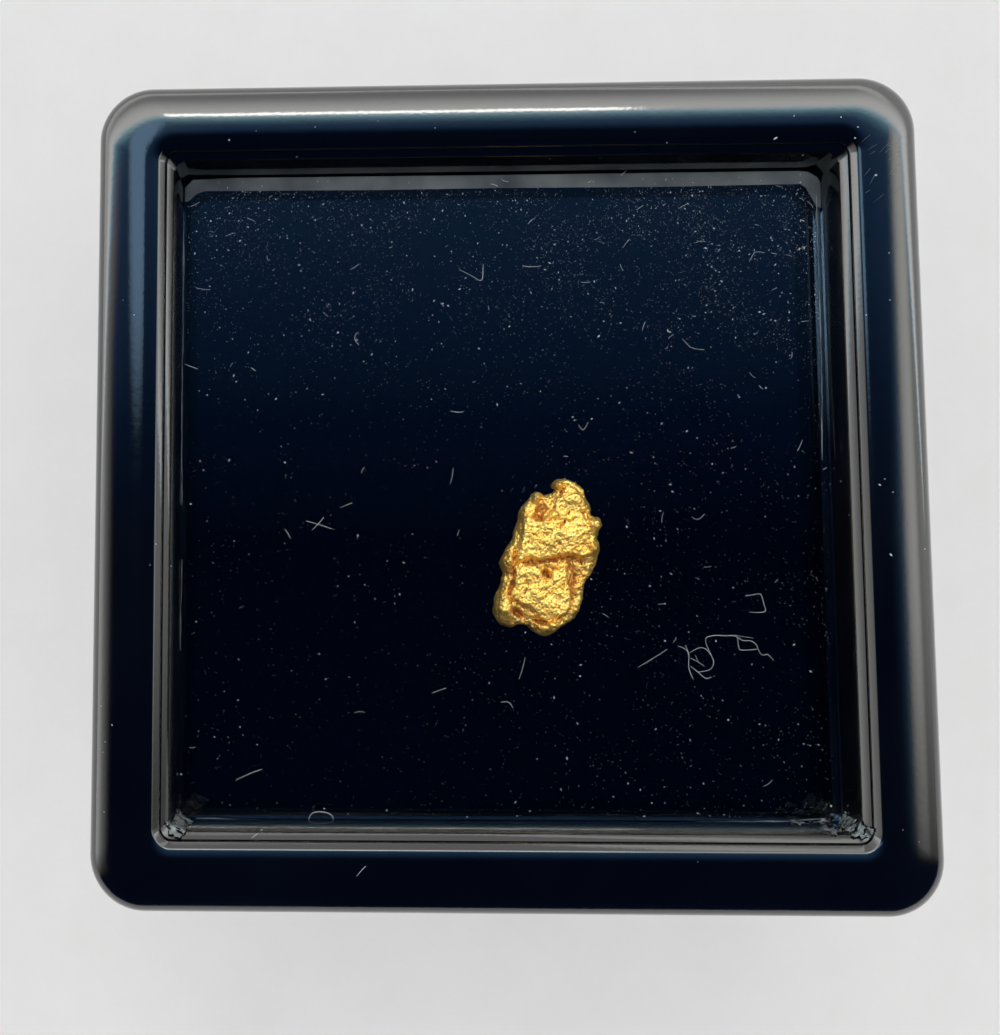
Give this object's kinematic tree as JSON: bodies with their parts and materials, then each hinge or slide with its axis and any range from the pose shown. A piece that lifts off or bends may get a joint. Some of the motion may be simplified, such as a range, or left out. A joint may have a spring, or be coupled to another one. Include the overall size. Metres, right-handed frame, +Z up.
{
  "type": "gold nugget in display box",
  "caption": "Small hammered-looking gold nugget held on a black foam pad, close under the recessed clear window of a square black display box with a push-fit lid.",
  "frame": {"origin": "centre of the box's underside, on the plane of its foot", "axes": "+Z up through the window, +Y towards the end that the nugget's top lobe points to, +X to the right of that as seen from above"},
  "size_m": [0.03, 0.03, 0.018],
  "materials": {
    "black_plastic": "gloss",
    "clear_pane": "polished",
    "black_foam": "matte",
    "gold": "satin",
    "lint": "matte"
  },
  "bodies": {
    "root": {"box_base": "black_plastic", "lid": "black_plastic", "window_liner": "black_plastic", "window_pane": "clear_pane", "foam_pad": "black_foam", "gold_nugget": "gold"}
  },
  "joints": []
}
